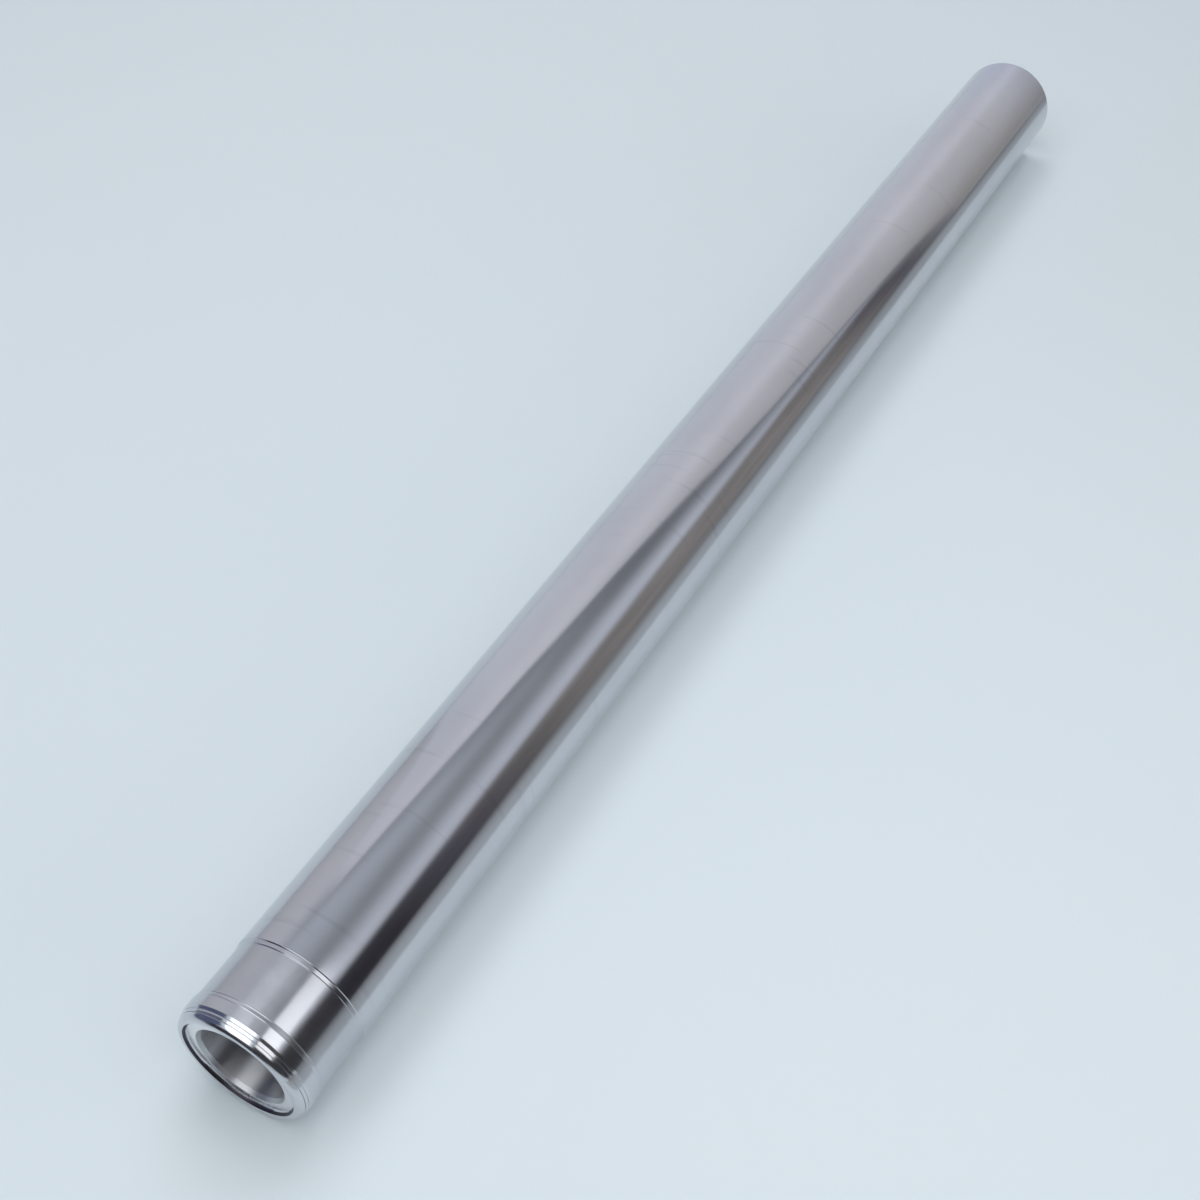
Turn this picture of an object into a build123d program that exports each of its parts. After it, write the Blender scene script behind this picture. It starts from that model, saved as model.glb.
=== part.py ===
from build123d import *
import os

# Fork tube: the sliding, chromed inner tube of a telescopic motorcycle fork, turned from one
# length of steel tube. All sizes are in millimetres.
# It lies along X, with its lower end towards -X, its top towards +X and +Z up. The origin is on
# the axis, at the shoulder where the ground barrel starts and the slide bush stops.

# Barrel: the long ground cylinder that the yokes clamp and the seals run on
barrel_diameter = 41.0
barrel_length = 539.6
barrel_wall = 2.5

# Seat of the split slide bush, between two gentle shoulders
bush_seat_length = 15.7
bush_seat_depth = 0.45
shoulder_length = 1.5
shoulder_root_round = 0.6

# Land that keeps the bush on the tube, full barrel diameter
land_length = 3.4

# Two narrow turned bands below the land, each stepped down and parted by a fine groove
band_length = 0.8
band_drop = 0.28
groove_width = 0.16
groove_depth = 0.15

# Rounded lip at the lower end, and the face that it stands round
lip_length = 1.9
lip_drop = 0.12
lip_shoulder_length = 1.15
lip_shoulder_drop = 0.38
lip_crest_width = 1.05
lip_thickness = 2.22
lip_outer_round = 2.5
lip_crest_round = 0.8
lip_inner_round = 0.35
face_recess = 1.16
lip_wall_taper = 0.8
face_corner_round = 0.2

# Reduced hole that guides the damper rod, with its countersink and the ledge behind it
rod_hole_diameter = 26.8
countersink_width = 0.7
countersink_depth = 1.2
ledge_length = 14.0
ledge_taper_length = 7.0
ledge_edge_round = 0.5

# Top end: thread for the fork cap, cut to leave this wall, its run-out groove and the mouth
cap_thread_wall = 1.5
cap_thread_length = 16.0
runout_length = 2.0
runout_depth = 0.25
runout_taper_length = 1.5
mouth_chamfer = 0.5
top_chamfer = 0.5

# Radii of the turned surfaces
barrel_radius = barrel_diameter / 2
bore_radius = barrel_radius - barrel_wall
bush_seat_radius = barrel_radius - bush_seat_depth
rod_hole_radius = rod_hole_diameter / 2
countersink_radius = rod_hole_radius + countersink_width
cap_thread_radius = barrel_radius - cap_thread_wall
runout_radius = cap_thread_radius + runout_depth
upper_band_end_radius = barrel_radius - band_drop
lower_band_end_radius = upper_band_end_radius - band_drop
lip_radius = lower_band_end_radius - lip_drop
lip_shoulder_radius = lip_radius - lip_shoulder_drop
lip_inner_radius = lip_radius - lip_thickness
lip_crest_radius = lip_inner_radius + lip_crest_width
face_radius = lip_inner_radius - lip_wall_taper

# Stations along the outside, from the barrel's shoulder down to the crest of the lip
seat_top = -shoulder_length
seat_bottom = seat_top - bush_seat_length
land_top = seat_bottom - shoulder_length
land_bottom = land_top - land_length
upper_band_end = land_bottom - band_length
lower_band_start = upper_band_end - groove_width
lower_band_end = lower_band_start - band_length
lip_start = lower_band_end - groove_width
lip_shoulder = lip_start - lip_shoulder_length
lip_crest = lip_start - lip_length

# Stations along the inside, from the face inside the lip up to the mouth
face = lip_crest + face_recess
rod_hole_start = face + countersink_depth
rod_hole_end = rod_hole_start + ledge_length
bore_start = rod_hole_end + ledge_taper_length
mouth = barrel_length
thread_start = mouth - mouth_chamfer
thread_end = thread_start - cap_thread_length
runout_end = thread_end - runout_length
bore_end = runout_end - runout_taper_length


def groove(start, radius_above, radius_below):
    """Corners of one fine square groove, cut from the band above it towards the lower end."""
    bottom = min(radius_above, radius_below) - groove_depth
    return [
        (start, radius_above, 0),
        (start, bottom, 0),
        (start - groove_width, bottom, 0),
        (start - groove_width, radius_below, 0),
    ]


def outside():
    """Corners of the outside from the top end down to the lip: station, radius and round."""
    return [
        (mouth, barrel_radius - top_chamfer, 0),
        (mouth - top_chamfer, barrel_radius, 0),
        (0, barrel_radius, 0),
        (seat_top, bush_seat_radius, shoulder_root_round),
        (seat_bottom, bush_seat_radius, shoulder_root_round),
        (land_top, barrel_radius, 0),
        (land_bottom, barrel_radius, 0),
        *groove(upper_band_end, upper_band_end_radius, upper_band_end_radius),
        *groove(lower_band_end, lower_band_end_radius, lip_radius),
        (lip_shoulder, lip_shoulder_radius, lip_outer_round),
        (lip_crest, lip_crest_radius, lip_crest_round),
        (lip_crest, lip_inner_radius, lip_inner_round),
    ]


def inside():
    """Corners of the inside from the face within the lip up to the mouth at the top end."""
    return [
        (face, face_radius, face_corner_round),
        (face, countersink_radius, 0),
        (rod_hole_start, rod_hole_radius, 0),
        (rod_hole_end, rod_hole_radius, ledge_edge_round),
        (bore_start, bore_radius, ledge_edge_round),
        (bore_end, bore_radius, 0),
        (runout_end, runout_radius, 0),
        (thread_end, runout_radius, 0),
        (thread_end, cap_thread_radius, 0),
        (thread_start, cap_thread_radius, 0),
        (mouth, cap_thread_radius + mouth_chamfer, 0),
    ]


def fork_tube():
    """The whole tube: half its section, turned once about the axis."""
    corners = outside() + inside()
    points = [(station, radius) for station, radius, _ in corners]
    rounds = [corner_round for _, _, corner_round in corners]
    with BuildPart() as tube:
        with BuildSketch(Plane.XY):
            with BuildLine():
                FilletPolyline(*points, radius=rounds, close=True)
            make_face()
        revolve(axis=Axis.X)
    return tube.part


os.makedirs("parts", exist_ok=True)
fork_tube_part = fork_tube()
fork_tube_part.label = "fork_tube"
export_step(fork_tube_part, "parts/fork_tube.step")
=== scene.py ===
import math

import bmesh
import bpy
from mathutils import Matrix, Vector


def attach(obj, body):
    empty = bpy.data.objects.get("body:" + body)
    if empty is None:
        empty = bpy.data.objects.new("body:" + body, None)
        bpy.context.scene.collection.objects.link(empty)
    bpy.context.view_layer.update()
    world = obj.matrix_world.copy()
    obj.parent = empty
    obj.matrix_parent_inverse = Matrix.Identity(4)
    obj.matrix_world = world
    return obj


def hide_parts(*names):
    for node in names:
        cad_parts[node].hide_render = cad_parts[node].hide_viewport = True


# Fork tube, lying on a pale bench inside a soft light tent.
# The tube lies along X with its lipped lower end towards -X. Sizes are in metres unless they say mm.

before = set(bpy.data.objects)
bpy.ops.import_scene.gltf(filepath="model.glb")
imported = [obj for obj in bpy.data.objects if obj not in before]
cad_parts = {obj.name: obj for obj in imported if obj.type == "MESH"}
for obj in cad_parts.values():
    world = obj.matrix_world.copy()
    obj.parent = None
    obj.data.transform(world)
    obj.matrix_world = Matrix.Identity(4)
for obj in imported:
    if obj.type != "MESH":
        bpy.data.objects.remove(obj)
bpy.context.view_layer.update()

MM = 0.001
STEPS_ROUND = 192

# Radii of the turned surfaces, in mm, as in the part's source
BARREL = 20.5
SEAT = 20.05
BORE = 18.0
ROD_HOLE = 13.4
COUNTERSINK = 14.1
RUN_OUT = 19.25
THREAD_WALL = 19.0

# Stations along the outside, in mm, with the barrel's shoulder at 0
MOUTH = 539.6
SEAT_TOP = -1.45
SEAT_BOTTOM = -17.2
LAND_TOP = -18.76
LAND_BOTTOM = -22.1
UPPER_BAND_END = -22.88
LOWER_BAND_END = -23.84
LIP_SHOULDER = -25.12
LIP_CREST = -25.92

# Stations along the inside, in mm
LIP_WALL_START = -25.08
FACE_PLANE = -24.76
ROD_HOLE_START = -23.56
ROD_HOLE_END = -9.56
BORE_START = -2.56
BORE_END = 519.6
RUN_OUT_START = 521.1
THREAD_END = 523.1
THREAD_START = 539.1

# Height of the bench, in metres
FLOOR = -BARREL * MM


# The section: half of the tube, as corners with a station, a radius and a round, all in mm

def barrel():
    """The chamfered top edge and the ground barrel."""
    top_chamfer = 0.5
    return [
        (MOUTH, BARREL - top_chamfer, 0.12),
        (MOUTH - top_chamfer, BARREL, 0.3),
        (0.0, BARREL, 0.18),
    ]


def bush_seat():
    """A fine step, a nearly level strip, a second step, and the seat itself."""
    strip_top, strip_bottom = -0.20, -1.28
    strip_radius, strip_fall = 20.24, 0.02
    return [
        (strip_top, strip_radius, 0.06),
        (strip_bottom, strip_radius - strip_fall, 0.12),
        (SEAT_TOP, SEAT, 0.12),
        (SEAT_BOTTOM, SEAT, 0.1),
    ]


def land():
    """Two small beads with a slope between them, and the land that keeps the bush on."""
    first_bead, first_radius = -17.35, 20.18
    second_bead, second_radius = -18.44, 20.26
    return [
        (first_bead, first_radius, 0.05),
        (first_bead - 0.10, first_radius, 0.03),
        (first_bead - 0.19, first_radius - 0.05, 0.03),
        (second_bead, second_radius, 0.05),
        (second_bead - 0.06, second_radius + 0.01, 0.03),
        (second_bead - 0.15, second_radius - 0.04, 0.03),
        (LAND_TOP, BARREL, 0.06),
        (LAND_BOTTOM, BARREL, 0.15),
    ]


def groove(start, radius_above, bottom, radius_below):
    """A fine groove with a flat bottom and steep sides."""
    side_width, bottom_width, edge_round = 0.03, 0.15, 0.05
    bottom_start = start - side_width
    bottom_end = bottom_start - bottom_width
    return [
        (start, radius_above, edge_round),
        (bottom_start, bottom, 0.0),
        (bottom_end, bottom, 0.0),
        (bottom_end - side_width, radius_below, edge_round),
    ]


def lip():
    """The rounded lip and its tapered inner wall, down to the face inside it."""
    return [
        (LIP_SHOULDER, 19.56, 1.8),
        (LIP_CREST, 18.65, 0.8),
        (LIP_CREST, 17.60, 0.35),
        (LIP_WALL_START, 17.02, 0.0),
        (FACE_PLANE, 16.80, 0.2),
    ]


def inside():
    """The countersunk rod hole, the ledge behind it, the bore, the run-out and the cap thread's wall."""
    mouth_chamfer = 0.5
    return [
        (FACE_PLANE, COUNTERSINK, 0.08),
        (ROD_HOLE_START, ROD_HOLE, 0.10),
        (ROD_HOLE_END, ROD_HOLE, 0.5),
        (BORE_START, BORE, 0.5),
        (BORE_END, BORE, 0.1),
        (RUN_OUT_START, RUN_OUT, 0.1),
        (THREAD_END, RUN_OUT, 0.1),
        (THREAD_END, THREAD_WALL, 0.0),
        (THREAD_START, THREAD_WALL, 0.0),
        (MOUTH, THREAD_WALL + mouth_chamfer, 0.1),
    ]


def section():
    """The whole outline, from the top end down the outside and back up the inside."""
    upper_groove = groove(UPPER_BAND_END, radius_above=20.17, bottom=20.02, radius_below=20.15)
    lower_groove = groove(LOWER_BAND_END, radius_above=20.00, bottom=19.72, radius_below=19.86)
    return barrel() + bush_seat() + land() + upper_groove + lower_groove + lip() + inside()


# Modelling by hand

def put_down_tools():
    if bpy.context.object and bpy.context.object.mode != "OBJECT":
        bpy.ops.object.mode_set(mode="OBJECT")
    bpy.ops.object.select_all(action="DESELECT")


def pick_points(obj, wanted):
    """Select only the points of the mesh in edit mode that the test wants."""
    mesh = bmesh.from_edit_mesh(obj.data)
    bpy.ops.mesh.select_all(action="DESELECT")
    for point in mesh.verts:
        point.select = wanted(point.co)
    mesh.select_flush_mode()
    bmesh.update_edit_mesh(obj.data)


def close_up():
    """Merge the doubled points of the mesh in edit mode and turn its faces outwards."""
    bpy.ops.mesh.select_all(action="SELECT")
    bpy.ops.mesh.remove_doubles(threshold=0.0005 * MM)
    bpy.ops.mesh.normals_make_consistent(inside=False)
    bpy.ops.object.mode_set(mode="OBJECT")


def draw_path(name, places):
    """A path of edges, drawn by extruding one point from place to place. It stays in edit mode."""
    put_down_tools()
    bpy.ops.mesh.primitive_plane_add(size=MM, location=places[0])
    path = bpy.context.object
    path.name = name
    bpy.ops.object.transform_apply(location=True, rotation=True, scale=True)
    bpy.ops.object.mode_set(mode="EDIT")
    bpy.ops.mesh.select_mode(type="VERT")
    bpy.ops.mesh.select_all(action="SELECT")
    bpy.ops.mesh.merge(type="CENTER")
    for here, there in zip(places, places[1:]):
        bpy.ops.mesh.extrude_region_move(TRANSFORM_OT_translate={"value": there - here})
    bpy.ops.mesh.select_all(action="SELECT")
    return path


def draw_outline(name, corners):
    """A flat closed outline from corners in mm."""
    outline = draw_path(name, [Vector((x * MM, 0.0, r * MM)) for x, r, _ in corners])
    bpy.ops.mesh.edge_face_add()
    return outline


def round_corners(outline, corners, segments=5):
    """Round each corner of the outline that asks for it."""
    reach = 0.002 * MM
    for index, (x, r, corner_round) in enumerate(corners):
        if not corner_round:
            continue
        here = Vector((x, r))
        before = here - Vector(corners[index - 1][:2])
        after = Vector(corners[(index + 1) % len(corners)][:2]) - here
        setback = corner_round * math.tan(before.angle(after) / 2)
        place = Vector((x * MM, 0.0, r * MM))
        pick_points(outline, lambda co: (co - place).length < reach)
        bpy.ops.mesh.bevel(
            offset=setback * MM, offset_type="OFFSET", segments=segments, profile=0.5,
            affect="VERTICES", clamp_overlap=True,
        )


def turn_on_lathe(steps):
    """Spin the outline in edit mode once round the X axis and close the seam."""
    bpy.ops.mesh.select_all(action="SELECT")
    bpy.ops.mesh.delete(type="ONLY_FACE")
    bpy.ops.mesh.select_all(action="SELECT")
    bpy.ops.mesh.spin(
        steps=steps, angle=math.tau, center=(0, 0, 0), axis=(1, 0, 0), use_auto_merge=True,
    )
    close_up()


def even_the_shading(obj, sharp_angle=40):
    bpy.ops.object.select_all(action="DESELECT")
    obj.select_set(True)
    bpy.context.view_layer.objects.active = obj
    bpy.ops.object.shade_smooth_by_angle(angle=math.radians(sharp_angle))
    weigh = obj.modifiers.new("weighted normals", "WEIGHTED_NORMAL")
    weigh.mode = "FACE_AREA"
    weigh.keep_sharp = True
    bpy.ops.object.modifier_apply(modifier=weigh.name)


def flat_board(name, size, place, turn=(0, 0, 0)):
    """A flat board, with its size, place and turn applied to its mesh."""
    put_down_tools()
    bpy.ops.mesh.primitive_plane_add(size=1, location=place, rotation=turn)
    board = bpy.context.object
    board.name = name
    board.scale = (*size, 1)
    bpy.ops.object.transform_apply(location=True, rotation=True, scale=True)
    return board


# Parts of materials

def new_material(name):
    material = bpy.data.materials.new(name)
    material.use_nodes = True
    nodes = material.node_tree.nodes
    nodes.clear()
    return material, nodes, material.node_tree.links


def place_in_metres(nodes):
    return nodes.new("ShaderNodeTexCoord").outputs["Object"]


def stretched(nodes, links, source, scale):
    mapping = nodes.new("ShaderNodeMapping")
    mapping.inputs["Scale"].default_value = scale
    links.new(source, mapping.inputs["Vector"])
    return mapping.outputs["Vector"]


def noise(nodes, links, source, scale, detail=3.0, roughness=0.5):
    texture = nodes.new("ShaderNodeTexNoise")
    texture.inputs["Scale"].default_value = scale
    texture.inputs["Detail"].default_value = detail
    texture.inputs["Roughness"].default_value = roughness
    links.new(source, texture.inputs["Vector"])
    return texture.outputs["Fac"]


def between(nodes, links, source, low, high, from_low=0.3, from_high=0.7, smooth=False):
    """Spread a pattern over the values from low to high."""
    spread = nodes.new("ShaderNodeMapRange")
    if smooth:
        spread.interpolation_type = "SMOOTHSTEP"
    spread.inputs["From Min"].default_value = from_low
    spread.inputs["From Max"].default_value = from_high
    spread.inputs["To Min"].default_value = low
    spread.inputs["To Max"].default_value = high
    links.new(source, spread.inputs["Value"])
    return spread.outputs["Result"]


def ramp(nodes, links, source, pairs, smooth=False):
    """Colours along a ramp, from pairs of a place and a colour."""
    colours = nodes.new("ShaderNodeValToRGB")
    if smooth:
        colours.color_ramp.interpolation = "B_SPLINE"
    stops = colours.color_ramp.elements
    while len(stops) > 1:
        stops.remove(stops[-1])
    stops[0].position = pairs[0][0]
    stops[0].color = (*pairs[0][1], 1)
    for place, colour in pairs[1:]:
        stops.new(place).color = (*colour, 1)
    links.new(source, colours.inputs["Fac"])
    return colours.outputs["Color"]


def tint(nodes, links, source, dark, light):
    return ramp(nodes, links, source, [(0.3, dark), (0.7, light)])


def mixed(nodes, links, share, first, second, blend="MIX"):
    """Two colours mixed. Each of the three inputs is a socket or a constant."""
    mix = nodes.new("ShaderNodeMix")
    mix.data_type = "RGBA"
    mix.blend_type = blend
    for name, value in (("Factor", share), ("A", first), ("B", second)):
        if isinstance(value, bpy.types.NodeSocket):
            links.new(value, mix.inputs[name])
        else:
            mix.inputs[name].default_value = value
    return mix.outputs["Result"]


def relief(nodes, links, height, strength, distance):
    bump = nodes.new("ShaderNodeBump")
    bump.inputs["Strength"].default_value = strength
    bump.inputs["Distance"].default_value = distance
    links.new(height, bump.inputs["Height"])
    return bump.outputs["Normal"]


def metal(nodes, links, colour, roughness, normal, smear, turn=0.0):
    """Bare metal. Its reflections are smeared one way; the turn is a share of a full turn."""
    shader = nodes.new("ShaderNodeBsdfPrincipled")
    shader.inputs["Metallic"].default_value = 1.0
    links.new(colour, shader.inputs["Base Color"])
    links.new(roughness, shader.inputs["Roughness"])
    links.new(normal, shader.inputs["Normal"])
    if smear:
        shader.inputs["Anisotropic"].default_value = smear
        shader.inputs["Anisotropic Rotation"].default_value = turn
        tangent = nodes.new("ShaderNodeTangent")
        tangent.direction_type = "RADIAL"
        tangent.axis = "X"
        links.new(tangent.outputs["Tangent"], shader.inputs["Tangent"])
    output = nodes.new("ShaderNodeOutputMaterial")
    links.new(shader.outputs["BSDF"], output.inputs["Surface"])


# Finishes of the tube, and the painted shade in the recess inside the lip

def ground_chrome():
    """Hard chrome over ground steel: clear reflections, fine grinding rings, faint smudges."""
    smudge_colour = (0.10, 0.11, 0.14, 1)
    ring_depth = 0.00002
    material, nodes, links = new_material("ground_chrome")
    place = place_in_metres(nodes)
    rings = noise(nodes, links, stretched(nodes, links, place, (1, 0.004, 0.004)), 5200, 2)
    clouds = noise(nodes, links, stretched(nodes, links, place, (0.35, 1, 1)), 46, 4, 0.6)
    wipes = noise(nodes, links, stretched(nodes, links, place, (1, 0.10, 0.10)), 260, 2)
    clean = tint(nodes, links, clouds, (0.55, 0.56, 0.59), (0.61, 0.62, 0.65))
    smudges = between(nodes, links, wipes, 0.0, 0.08, 0.64, 0.74)
    colour = mixed(nodes, links, smudges, clean, smudge_colour)
    roughness = between(nodes, links, clouds, 0.105, 0.135)
    normal = relief(nodes, links, rings, 0.05, ring_depth)
    metal(nodes, links, colour, roughness, normal, smear=0.5)
    return material


def turned_steel(name, dark, light, roughness, rings, strength, smear=0.0):
    """Steel left from the lathe or the grinder, with its rings round the tube."""
    ring_depth = 0.00003
    material, nodes, links = new_material(name)
    place = place_in_metres(nodes)
    cuts = noise(nodes, links, stretched(nodes, links, place, (1, 0.002, 0.002)), rings, 3, 0.6)
    clouds = noise(nodes, links, place, 90, 4, 0.6)
    colour = tint(nodes, links, clouds, dark, light)
    dulling = between(nodes, links, clouds, *roughness)
    normal = relief(nodes, links, cuts, strength, ring_depth)
    metal(nodes, links, colour, dulling, normal, smear, turn=0.25)
    return material


# SHADED_RECESS is painted shade: the recess inside the lip is darkened in its colour.
CHROME, SATIN, BRIGHT, FACE, HOLE, BORE_WALL, SHADED_RECESS, RIBBED = range(8)


def finishes():
    """The tube's materials, in the order of their numbers above."""
    return [
        ground_chrome(),
        turned_steel("satin_seat", (0.53, 0.54, 0.57), (0.58, 0.59, 0.62),
                     roughness=(0.19, 0.23), rings=4200, strength=0.12, smear=0.6),
        turned_steel("bright_turned_rim", (0.62, 0.63, 0.66), (0.68, 0.69, 0.72),
                     roughness=(0.15, 0.19), rings=5200, strength=0.05, smear=0.6),
        turned_steel("faced_end", (0.80, 0.79, 0.81), (0.87, 0.86, 0.88),
                     roughness=(0.22, 0.30), rings=3000, strength=0.10),
        turned_steel("reamed_hole", (0.66, 0.66, 0.68), (0.74, 0.74, 0.76),
                     roughness=(0.42, 0.48), rings=3800, strength=0.20, smear=0.9),
        turned_steel("drawn_bore", (0.34, 0.35, 0.37), (0.42, 0.43, 0.45),
                     roughness=(0.35, 0.50), rings=1500, strength=0.20),
        # Painted shade: the recess inside the lip gets a near-black colour where shade falls.
        turned_steel("recess_painted_shade", (0.05, 0.045, 0.06), (0.09, 0.08, 0.10),
                     roughness=(0.30, 0.40), rings=3000, strength=0.10),
        turned_steel("ribbed_land", (0.56, 0.57, 0.60), (0.62, 0.63, 0.66),
                     roughness=(0.17, 0.22), rings=2800, strength=0.35, smear=0.6),
    ]


def finish_of(x, r):
    """Which finish the tube has at a station and a radius, both in mm."""
    skin, band_radius, lip_wall = 19.6, 20.0, 16.8
    chrome_end, satin_end, ribs_end = -0.6, -18.5, -22.2
    recess_inner, recess_outer = 17.03, 17.57
    recess_start, recess_end = -25.8, -24.8
    face_depth, hole_end = -24.7, -2.0
    if r > skin and x > chrome_end:
        return CHROME
    if r > skin and x > satin_end:
        return SATIN
    # Painted shade in the recess inside the lip.
    if recess_inner < r < recess_outer and recess_start < x < recess_end:
        return SHADED_RECESS
    if r > band_radius and ribs_end < x <= satin_end:
        return RIBBED
    if r > lip_wall and x <= satin_end:
        return BRIGHT
    if x < face_depth:
        return FACE
    if x < hole_end:
        return HOLE
    return BORE_WALL


# The tube and its thread

def fork_tube():
    corners = section()
    tube = draw_outline("fork_tube_turned", corners)
    round_corners(tube, corners)
    turn_on_lathe(STEPS_ROUND)
    for material in finishes():
        tube.data.materials.append(material)
    for face in tube.data.polygons:
        centre = face.center / MM
        face.material_index = finish_of(centre.x, math.hypot(centre.y, centre.z))
    even_the_shading(tube)
    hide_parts("fork_tube")
    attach(tube, "root")


def thread_ridge(start, pitch, root, crest):
    """Corners of the ridge's section, open towards the wall, in mm."""
    crest_start, crest_end, foot = 0.38, 0.50, 0.88
    return [
        (start, root, 0.0),
        (start + crest_start * pitch, crest, 0.0),
        (start + crest_end * pitch, crest, 0.0),
        (start + foot * pitch, root, 0.0),
    ]


def sink_ends(ridge, start, pitch, turns, root):
    """Let the first and the last third of a turn fade into the wall. Sizes in mm."""
    fade_turns, ridge_middle = 0.35, 0.44
    middle = start + ridge_middle * pitch
    for point in ridge.data.vertices:
        x, y, z = point.co
        radius = math.hypot(y, z)
        angle = (math.atan2(-y, z) / math.tau) % 1.0
        travel = (x - middle * MM) / (pitch * MM)
        turn = round(travel - angle) + angle
        fade = min(1.0, max(0.0, min(turn, turns - turn) / fade_turns))
        wanted = root * MM - (root * MM - radius) * fade
        point.co = (x, y * wanted / radius, z * wanted / radius)


def cap_thread():
    """The ridge of the fork cap's thread, wound up the inside of the mouth."""
    pitch, turns, steps = 1.0, 15, 96
    run_in, sunk, height = 0.3, 0.06, 0.54
    start = THREAD_END + run_in
    root = THREAD_WALL + sunk
    crest = THREAD_WALL - height
    ridge = draw_outline("fork_cap_thread", thread_ridge(start, pitch, root, crest))
    bpy.ops.mesh.delete(type="ONLY_FACE")
    bpy.ops.object.mode_set(mode="OBJECT")
    wind = ridge.modifiers.new("wind", "SCREW")
    wind.axis = "X"
    wind.screw_offset = pitch * MM
    wind.iterations = turns
    wind.steps = steps
    wind.render_steps = steps
    bpy.ops.object.modifier_apply(modifier=wind.name)
    sink_ends(ridge, start, pitch, turns, root)
    bpy.ops.object.mode_set(mode="EDIT")
    close_up()
    ridge.data.materials.append(
        turned_steel("cut_thread", (0.50, 0.51, 0.53), (0.58, 0.59, 0.61),
                     roughness=(0.18, 0.28), rings=2600, strength=0.15))
    even_the_shading(ridge, sharp_angle=30)
    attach(ridge, "root")


# Painted light and shade of the tent and of the bench beside it, as reflections show them

GLOW = 1.07

GREY = (1.0, 1.005, 1.09)
WARM = (1.0, 0.96, 0.95)
COOL = (0.93, 1.0, 1.12)
DUSK = (0.98, 0.95, 1.20)
PLAIN = (1.0, 1.0, 1.04)
WHITE = (1.0, 1.0, 1.0)
BLACK = (0.0, 0.0, 0.0)


def shade(value, tone):
    """A glow colour of this brightness: painted light and shade of the tent's cloth."""
    return tuple(value * GLOW * part for part in tone)


def dim(value):
    """A grey that dims what it is multiplied with."""
    return (value, value, value)


# Corners of the tent's arch across the tube, in metres, from the near side over to the far side
ARCH = [
    (-0.43, FLOOR), (-0.44, 0.24), (-0.468, 0.44), (-0.46, 0.60), (-0.383, 0.778),
    (-0.148, 1.015), (0.08, 1.26), (0.386, 1.468), (1.24, 1.93), (1.6, 1.6), (1.6, FLOOR),
]
HEM_CORNERS = 8
TENT_OPEN = 0.12
TENT_END = 1.0

# How bright the arch is by the angle round the tube, in degrees up from the far side
ARCH_SHADES = [
    (-180, shade(0.05, GREY)), (-160, shade(0.05, GREY)), (-12, shade(0.40, COOL)),
    (12, shade(0.53, GREY)), (40, shade(0.59, GREY)), (60, shade(0.50, COOL)),
    (88, shade(0.50, COOL)), (112, shade(0.16, GREY)), (136, shade(0.76, COOL)),
    (150, shade(0.40, GREY)), (158, shade(0.08, GREY)), (180, shade(0.04, GREY)),
]
# Where the arch darkens towards the tent's end, by the same angle: white is all, black is nothing
OVERHEAD = [(44, BLACK), (62, WHITE), (138, WHITE), (150, BLACK)]
# How the cloth overhead darkens along the tent, in metres
HEM_SHADES = [(0.70, dim(1.0)), (0.80, dim(0.86)), (0.90, dim(0.68)), (1.0, dim(0.52))]
# How bright the low near wall is along the tent, in metres
WALL_SHADES = [
    (0.20, shade(0.034, DUSK)), (0.28, shade(0.085, DUSK)), (0.36, shade(0.155, WARM)),
    (0.44, shade(0.25, WARM)), (0.72, shade(0.26, WARM)), (0.82, shade(0.22, WARM)),
    (0.94, shade(0.105, DUSK)), (0.98, shade(0.20, GREY)),
]
# How bright the tent's end is, by the angle round the tube
END_SHADES = [
    (-180, shade(0.34, WARM)), (-60, shade(0.60, GREY)), (10, shade(0.67, COOL)),
    (50, shade(0.65, GREY)), (75, shade(0.75, GREY)), (92, shade(0.60, PLAIN)),
    (130, shade(0.53, PLAIN)), (165, shade(0.37, WARM)), (180, shade(0.34, WARM)),
]
# How bright the painted shade on the bench is from the foot of the near wall, at 0, to the tube, at 1
BENCH_SHADES = [
    (0.0, (0.21, 0.215, 0.22)), (0.62, (0.29, 0.31, 0.33)),
    (0.86, (0.41, 0.44, 0.47)), (1.0, (0.46, 0.50, 0.54)),
]
# How that shaded bench brightens and dims along the tent, in metres
BENCH_ALONG = [
    (0.30, dim(1.0)), (0.46, dim(0.84)), (0.56, dim(0.92)), (0.66, dim(0.82)),
    (0.74, dim(0.76)), (0.84, dim(0.86)), (0.92, dim(1.05)), (1.0, dim(1.3)),
]
# Painted shade where the foot of the near wall darkens it near the tent's end, in metres
FOOT_SHADES = [
    (0.74, dim(1.0)), (0.84, (0.54, 0.51, 0.56)), (0.91, (0.38, 0.35, 0.41)),
    (0.945, (0.42, 0.39, 0.45)), (0.98, dim(1.0)),
]


# Bench and tent

def bench():
    top = flat_board("bench_top", (8, 8), (0.25, 0.4, FLOOR))
    material, nodes, links = new_material("pale_bench")
    clouds = noise(nodes, links, place_in_metres(nodes), 2.2, 2)
    colour = tint(nodes, links, clouds, (0.62, 0.70, 0.755), (0.64, 0.715, 0.77))
    shader = nodes.new("ShaderNodeBsdfPrincipled")
    links.new(colour, shader.inputs["Base Color"])
    shader.inputs["Roughness"].default_value = 0.5
    shader.inputs["Specular IOR Level"].default_value = 0.3
    output = nodes.new("ShaderNodeOutputMaterial")
    links.new(shader.outputs["BSDF"], output.inputs["Surface"])
    top.data.materials.append(material)


def glow(obj, material, colour):
    """Let a piece glow as a painted reflection: it shows in reflections only, not to the camera, and with
    no light or shadow on the bench.
    """
    nodes, links = material.node_tree.nodes, material.node_tree.links
    lamp = nodes.new("ShaderNodeEmission")
    links.new(colour, lamp.inputs["Color"])
    output = nodes.new("ShaderNodeOutputMaterial")
    links.new(lamp.outputs["Emission"], output.inputs["Surface"])
    obj.data.materials.append(material)
    obj.visible_camera = False
    obj.visible_diffuse = False
    obj.visible_shadow = False


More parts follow.
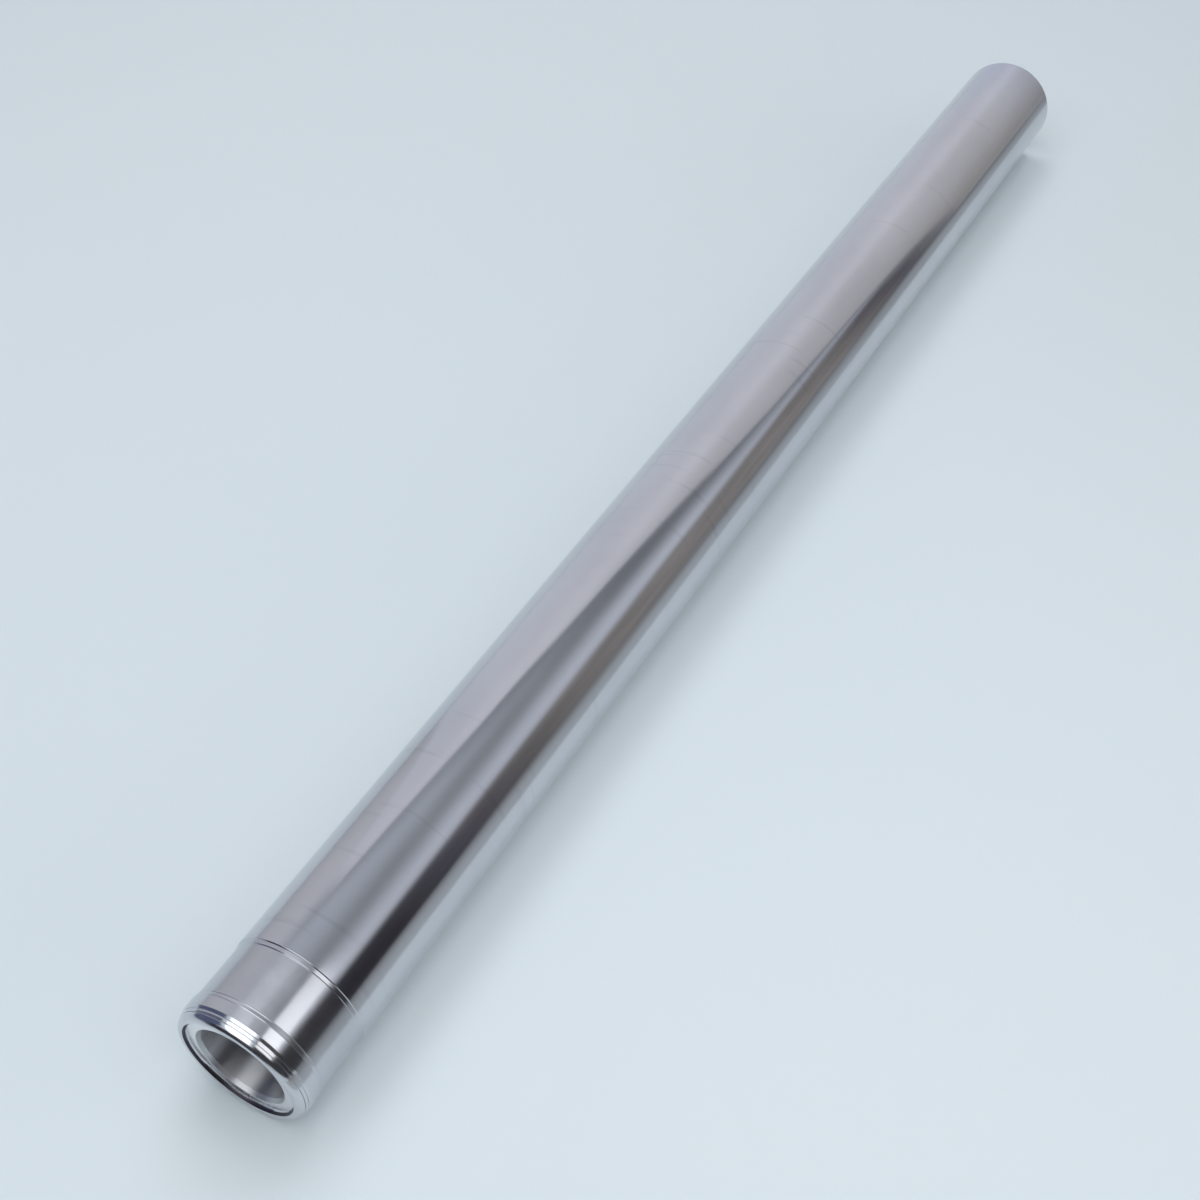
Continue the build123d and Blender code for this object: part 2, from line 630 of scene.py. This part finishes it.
def split_place(nodes, links):
    """The place of a point as its three sockets X, Y and Z."""
    split = nodes.new("ShaderNodeSeparateXYZ")
    links.new(place_in_metres(nodes), split.inputs["Vector"])
    return split.outputs


def angle_round_tube(nodes, links, place):
    """The angle of a point round the tube, from -180 to 180 degrees spread over 0 to 1."""
    angle = nodes.new("ShaderNodeMath")
    angle.operation = "ARCTAN2"
    links.new(place["Z"], angle.inputs[0])
    links.new(place["Y"], angle.inputs[1])
    return between(nodes, links, angle.outputs["Value"], 0, 1, -math.pi, math.pi)


def by_angle(pairs):
    """The same pairs with their degrees spread over 0 to 1."""
    return [((degrees + 180) / 360, colour) for degrees, colour in pairs]


def low_near_wall(nodes, links, place):
    """The low near wall's share: 1 near the bench, 0 higher up and on the far side."""
    fade_top, fade_bottom = 0.33, 0.21
    low = between(nodes, links, place["Z"], 0, 1, fade_top, fade_bottom, smooth=True)
    near_side = nodes.new("ShaderNodeMath")
    near_side.operation = "LESS_THAN"
    near_side.inputs[1].default_value = 0.0
    links.new(place["Y"], near_side.inputs[0])
    share = nodes.new("ShaderNodeMath")
    share.operation = "MULTIPLY"
    links.new(low, share.inputs[0])
    links.new(near_side.outputs["Value"], share.inputs[1])
    return share.outputs["Value"]


def tent_arch():
    """The tent's cloth as a glow of painted light and shade, from the near side over the tube to the far
    side.
    """
    arch = draw_path("tent_arch", [Vector((TENT_OPEN, y, z)) for y, z in ARCH])
    bpy.ops.mesh.extrude_region_move(
        TRANSFORM_OT_translate={"value": (TENT_END - TENT_OPEN, 0, 0)})
    bpy.ops.object.mode_set(mode="OBJECT")
    material, nodes, links = new_material("tent_cloth")
    place = split_place(nodes, links)
    angle = angle_round_tube(nodes, links, place)
    cloth = ramp(nodes, links, angle, by_angle(ARCH_SHADES), smooth=True)
    wall = ramp(nodes, links, place["X"], WALL_SHADES)
    # Painted light and shade of folds in the wall's cloth.
    grain = noise(nodes, links, stretched(nodes, links, place_in_metres(nodes), (0.6, 1, 1)), 16, 3)
    folds = tint(nodes, links, grain, (0.80, 0.78, 0.76), (1.22, 1.20, 1.18))
    folded_wall = mixed(nodes, links, 1.0, wall, folds, "MULTIPLY")
    both = mixed(nodes, links, low_near_wall(nodes, links, place), cloth, folded_wall)
    overhead = ramp(nodes, links, angle, by_angle(OVERHEAD))
    hem = ramp(nodes, links, place["X"], HEM_SHADES)
    glow(arch, material, mixed(nodes, links, overhead, both, hem, "MULTIPLY"))


def tent_end():
    """The cloth that closes the tent beyond the tube's top end, as a glow of painted light and shade."""
    end = flat_board("tent_end", (5, 5), (TENT_END, 1.0, 2.0), (0, math.radians(-90), 0))
    material, nodes, links = new_material("tent_end_cloth")
    angle = angle_round_tube(nodes, links, split_place(nodes, links))
    cloth = ramp(nodes, links, angle, by_angle(END_SHADES), smooth=True)
    # a cooler, darker patch close round the tube's axis
    patch_strength, patch_inner, patch_outer = 0.85, 0.25, 0.33
    reach = nodes.new("ShaderNodeVectorMath")
    reach.operation = "LENGTH"
    links.new(stretched(nodes, links, place_in_metres(nodes), (0, 1, 1)), reach.inputs[0])
    patch = between(nodes, links, reach.outputs["Value"], patch_strength, 0, patch_inner, patch_outer)
    glow(end, material, mixed(nodes, links, patch, cloth, (0.78, 0.84, 0.96, 1), "MULTIPLY"))


def tent_hem():
    """A thin dark seam where the arch meets the tent's end."""
    gap, narrowing = 0.006, 0.955
    places = [Vector((TENT_END - gap, y, z)) for y, z in ARCH[:HEM_CORNERS]]
    hem = draw_path("tent_hem", places)
    bpy.ops.mesh.extrude_region_move(TRANSFORM_OT_translate={"value": (0, 0, 0)})
    bpy.ops.transform.resize(value=(1, narrowing, narrowing), center_override=(TENT_END, 0, 0))
    bpy.ops.object.mode_set(mode="OBJECT")
    material, nodes, links = new_material("tent_hem_cloth")
    clouds = noise(nodes, links, place_in_metres(nodes), 3, 2)
    glow(hem, material, tint(nodes, links, clouds, shade(0.17, COOL), shade(0.23, COOL)))


def bench_edge():
    """A glowing strip of painted shade: the bench's shaded strip along the foot of the near wall, as the
    metal sees it.
    """
    wall_foot, tube_side = -0.43, -0.07
    foot_near, foot_far = -0.38, -0.27
    strip = flat_board("bench_edge", (1.1, 0.37), (0.45, -0.25, FLOOR + 0.5 * MM))
    material, nodes, links = new_material("shaded_bench")
    place = split_place(nodes, links)
    across = between(nodes, links, place["Y"], 0, 1, wall_foot, tube_side)
    fade = ramp(nodes, links, across, BENCH_SHADES)
    along = ramp(nodes, links, place["X"], BENCH_ALONG)
    dimmed = mixed(nodes, links, 1.0, fade, along, "MULTIPLY")
    at_foot = between(nodes, links, place["Y"], 1, 0, foot_near, foot_far)
    foot = ramp(nodes, links, place["X"], FOOT_SHADES)
    glow(strip, material, mixed(nodes, links, at_foot, dimmed, foot, "MULTIPLY"))


def dark_card(name, size, place, turn, colour):
    """A dark board that shows in reflections only."""
    card = flat_board(name, size, place, turn)
    material, nodes, links = new_material(name)
    clouds = noise(nodes, links, place_in_metres(nodes), 1.5, 2)
    glow(card, material, tint(nodes, links, clouds, shade(0.85, colour), colour))


def dark_cards():
    upright = math.radians(90)
    dark_card("card_behind_camera", (1.22, 3.0), (-1.42, 0.1, 0.59), (0, upright, 0),
              (0.035, 0.033, 0.045))
    dark_card("card_far_side", (1.54, 2.1), (-0.65, 1.6, 1.03), (upright, 0, 0),
              (0.10, 0.12, 0.20))
    dark_card("card_near_side", (1.62, 1.37), (-0.61, -0.52, 0.665), (-upright, 0, 0),
              (0.05, 0.05, 0.055))


# Lights and camera

def daylight():
    """Even light all round, and the pale colour that the camera and the metal see."""
    world = bpy.data.worlds.new("studio")
    bpy.context.scene.world = world
    world.use_nodes = True
    nodes, links = world.node_tree.nodes, world.node_tree.links
    nodes.clear()
    path = nodes.new("ShaderNodeLightPath")
    seen = nodes.new("ShaderNodeMath")
    seen.operation = "MAXIMUM"
    links.new(path.outputs["Is Camera Ray"], seen.inputs[0])
    links.new(path.outputs["Is Glossy Ray"], seen.inputs[1])
    light = nodes.new("ShaderNodeBackground")
    light.inputs["Color"].default_value = (0.97, 0.99, 1.0, 1)
    light.inputs["Strength"].default_value = 0.30
    pale = nodes.new("ShaderNodeBackground")
    pale.inputs["Color"].default_value = (0.62, 0.69, 0.75, 1)
    pale.inputs["Strength"].default_value = 1.0
    mix = nodes.new("ShaderNodeMixShader")
    links.new(seen.outputs["Value"], mix.inputs["Fac"])
    links.new(light.outputs["Background"], mix.inputs[1])
    links.new(pale.outputs["Background"], mix.inputs[2])
    output = nodes.new("ShaderNodeOutputWorld")
    links.new(mix.outputs["Shader"], output.inputs["Surface"])


def softbox(name, place, aim, size, power, mirrored):
    """A flat soft light, turned from its place towards the aim, with its size along X first."""
    put_down_tools()
    bpy.ops.object.light_add(type="AREA", location=place)
    lamp = bpy.context.object
    lamp.name = name
    back = (Vector(place) - Vector(aim)).normalized()
    aims_sideways = abs(back.y) >= 0.9
    side = Vector((1, 0, 0)) if aims_sideways else Vector((0, -1, 0)).cross(back).normalized()
    lamp.rotation_euler = Matrix((side, back.cross(side), back)).transposed().to_euler()
    lamp.data.shape = "RECTANGLE"
    lamp.data.size, lamp.data.size_y = size
    lamp.data.energy = power
    lamp.visible_camera = False
    lamp.visible_glossy = mirrored


def studio_lights():
    softbox("overhead_softbox", place=(-0.575, 0.175, 1.2), aim=(-0.575, 0.175, 0),
            size=(1.65, 0.99), power=8.1, mirrored=True)
    softbox("overhead_fill", place=(-0.4, 0.175, 1.22), aim=(-0.4, 0.175, 0),
            size=(1.65, 0.99), power=0.8, mirrored=False)
    softbox("side_softbox", place=(0.0, -0.365, 0.45), aim=(0.0, 0, 0),
            size=(0.41, 0.31), power=0.54, mirrored=True)
    softbox("far_softbox", place=(0.9, 0.35, 1.4), aim=(0.8, 0.35, 0),
            size=(1.2, 1.2), power=10.0, mirrored=False)
    softbox("near_fill", place=(0.3, -1.3, 0.35), aim=(0.3, 0, 0),
            size=(1.6, 0.6), power=3.8, mirrored=False)


def bounce_light():
    """Stands in for the light that the metal throws back on to the bench beside it."""
    middle, length, width = 0.26, 0.565, 0.006
    beside = -0.85 * BARREL * MM
    height = -0.74 * BARREL * MM
    softbox("bounce", place=(middle, beside, height), aim=(middle, beside, FLOOR),
            size=(length, width), power=0.0047, mirrored=False)


def camera():
    """Close to the lower end, looking up along the tube."""
    put_down_tools()
    bpy.ops.object.camera_add(location=(-0.14489, -0.17438, 0.36716))
    view = bpy.context.object
    right = Vector((0.49896, -0.86663, 0.0))
    up = Vector((0.62231, 0.35829, 0.69595))
    view.rotation_euler = Matrix((right, up, right.cross(up))).transposed().to_euler()
    view.data.sensor_width = 36
    view.data.lens = 47.006
    view.data.clip_start = 0.01
    view.data.clip_end = 30
    bpy.context.scene.camera = view


fork_tube()
cap_thread()
bench()
tent_arch()
tent_end()
tent_hem()
bench_edge()
daylight()
studio_lights()
bounce_light()
dark_cards()
camera()
bpy.context.scene.view_settings.view_transform = "Standard"
